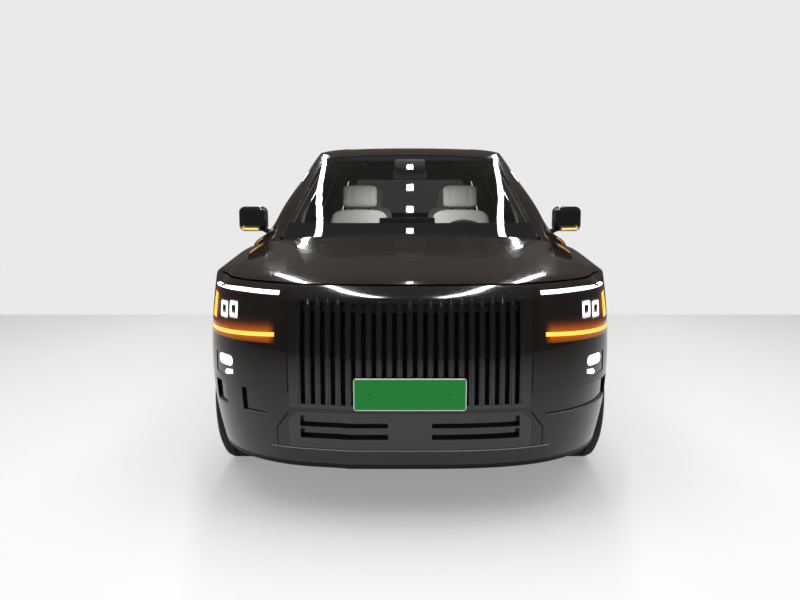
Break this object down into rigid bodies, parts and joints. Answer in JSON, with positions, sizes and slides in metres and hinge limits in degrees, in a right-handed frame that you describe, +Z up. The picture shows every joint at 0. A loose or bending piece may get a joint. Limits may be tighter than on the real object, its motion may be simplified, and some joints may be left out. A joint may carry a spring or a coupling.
{
  "type": "large sport utility vehicle",
  "caption": "Large five-door SUV with an upright slatted grille, slim lamps, opening doors, hood and tailgate, a furnished cabin, and wheels that roll and steer.",
  "frame": {"origin": "on the ground at the centre of the overall box", "axes": "+Z up, the front faces -Y, +X is the car's left side"},
  "size_m": [2.226, 5.23, 1.8264],
  "materials": {
    "paint": "deep gloss black clear coat",
    "structure": "satin dark primer",
    "black_trim": "gloss black moulding",
    "dark_plastic": "grained black plastic",
    "lamp": "smoked clear lamp cover",
    "glass": "clear laminated glass",
    "dark_glass": "tinted privacy glass",
    "plate": "plain green sheet",
    "tyre": "black rubber",
    "rim": "machined and lacquered",
    "running_gear": "raw cast and forged",
    "machine_case": "cast case",
    "seat": "grey-green leather",
    "dash": "soft-touch dark trim",
    "screen": "black glass-like screen",
    "red_lamp": "red lamp cover"
  },
  "bodies": {
    "body": {"fenders": "paint", "front_bumper": "paint", "front_skirt": "paint", "grille": "black_trim", "lower_grille": "dark_plastic", "front_plate": "plate", "headlamps": "lamp", "lower_lamps": "lamp", "cowl": "dark_plastic", "wipers": "dark_plastic", "front_structure": "structure", "front_box": "dark_plastic", "floor_pan": "structure", "battery_pack": "machine_case", "drive_units": "machine_case", "front_suspension": "running_gear", "rear_suspension": "running_gear", "arch_liners": "dark_plastic", "roof": "paint", "roof_glass": "dark_glass", "windshield": "glass", "quarter_glass": "dark_glass", "rear_bumper": "paint", "tail_lamps": "red_lamp", "dashboard": "dash", "screen": "screen", "front_seats": "seat", "rear_seats": "seat", "side_frame_left": "paint", "side_frame_right": "paint"},
    "hood_lid": {"hood": "paint"},
    "tailgate_lid": {"tailgate": "paint", "tailgate_glass": "dark_glass", "tail_lamp_bar": "red_lamp"},
    "steering_wheel_unit": {"steering_wheel": "dash"},
    "front_door_left": {"door_front_left": "paint", "glass_front_left": "glass", "mirror_left": "black_trim"},
    "rear_door_left": {"door_rear_left": "paint", "glass_rear_left": "dark_glass"},
    "steer_hub_left": {"knuckle_left": "running_gear"},
    "front_wheel_left": {"tyre_front_left": "tyre", "rim_front_left": "rim"},
    "rear_wheel_left": {"tyre_rear_left": "tyre", "rim_rear_left": "rim"},
    "front_door_right": {"door_front_right": "paint", "glass_front_right": "glass", "mirror_right": "black_trim"},
    "rear_door_right": {"door_rear_right": "paint", "glass_rear_right": "dark_glass"},
    "steer_hub_right": {"knuckle_right": "running_gear"},
    "front_wheel_right": {"tyre_front_right": "tyre", "rim_front_right": "rim"},
    "rear_wheel_right": {"tyre_rear_right": "tyre", "rim_rear_right": "rim"}
  },
  "joints": [
    {"name": "front_door_left_hinge", "type": "hinge", "parent": "body", "child": "front_door_left", "pos_m": [0.993, -1.055, 0.705], "axis": [0, 0, -1], "range_deg": [0, 70]},
    {"name": "rear_door_left_hinge", "type": "hinge", "parent": "body", "child": "rear_door_left", "pos_m": [0.993, 0.226, 0.705], "axis": [0, 0, -1], "range_deg": [0, 70]},
    {"name": "steer_left", "type": "hinge", "parent": "body", "child": "steer_hub_left", "pos_m": [0.77, -1.665, 0.395], "axis": [0, 0, 1], "range_deg": [-35, 35]},
    {"name": "front_wheel_left_spin", "type": "hinge", "parent": "steer_hub_left", "child": "front_wheel_left", "pos_m": [0.86, -1.665, 0.395], "axis": [1, 0, 0], "continuous": true},
    {"name": "rear_wheel_left_spin", "type": "hinge", "parent": "body", "child": "rear_wheel_left", "pos_m": [0.86, 1.485, 0.395], "axis": [1, 0, 0], "continuous": true},
    {"name": "front_door_right_hinge", "type": "hinge", "parent": "body", "child": "front_door_right", "pos_m": [-0.993, -1.055, 0.705], "axis": [0, 0, 1], "range_deg": [0, 70]},
    {"name": "rear_door_right_hinge", "type": "hinge", "parent": "body", "child": "rear_door_right", "pos_m": [-0.993, 0.226, 0.705], "axis": [0, 0, 1], "range_deg": [0, 70]},
    {"name": "steer_right", "type": "hinge", "parent": "body", "child": "steer_hub_right", "pos_m": [-0.77, -1.665, 0.395], "axis": [0, 0, 1], "range_deg": [-35, 35]},
    {"name": "front_wheel_right_spin", "type": "hinge", "parent": "steer_hub_right", "child": "front_wheel_right", "pos_m": [-0.86, -1.665, 0.395], "axis": [1, 0, 0], "continuous": true},
    {"name": "rear_wheel_right_spin", "type": "hinge", "parent": "body", "child": "rear_wheel_right", "pos_m": [-0.86, 1.485, 0.395], "axis": [1, 0, 0], "continuous": true},
    {"name": "hood_hinge", "type": "hinge", "parent": "body", "child": "hood_lid", "pos_m": [0, -1.195, 1.15], "axis": [-1, 0, 0], "range_deg": [0, 50]},
    {"name": "tailgate_hinge", "type": "hinge", "parent": "body", "child": "tailgate_lid", "pos_m": [0, 2.162, 1.71689], "axis": [1, 0, 0], "range_deg": [0, 80]},
    {"name": "steering_wheel_turn", "type": "hinge", "parent": "body", "child": "steering_wheel_unit", "pos_m": [0.37, -0.585, 1.11], "axis": [0, 0.9272, 0.3746], "range_deg": [-490, 490]}
  ],
  "couplings": [
    {"joint": "steer_right", "follows": "steer_left", "ratio": 1},
    {"joint": "steering_wheel_turn", "follows": "steer_left", "ratio": 14}
  ]
}
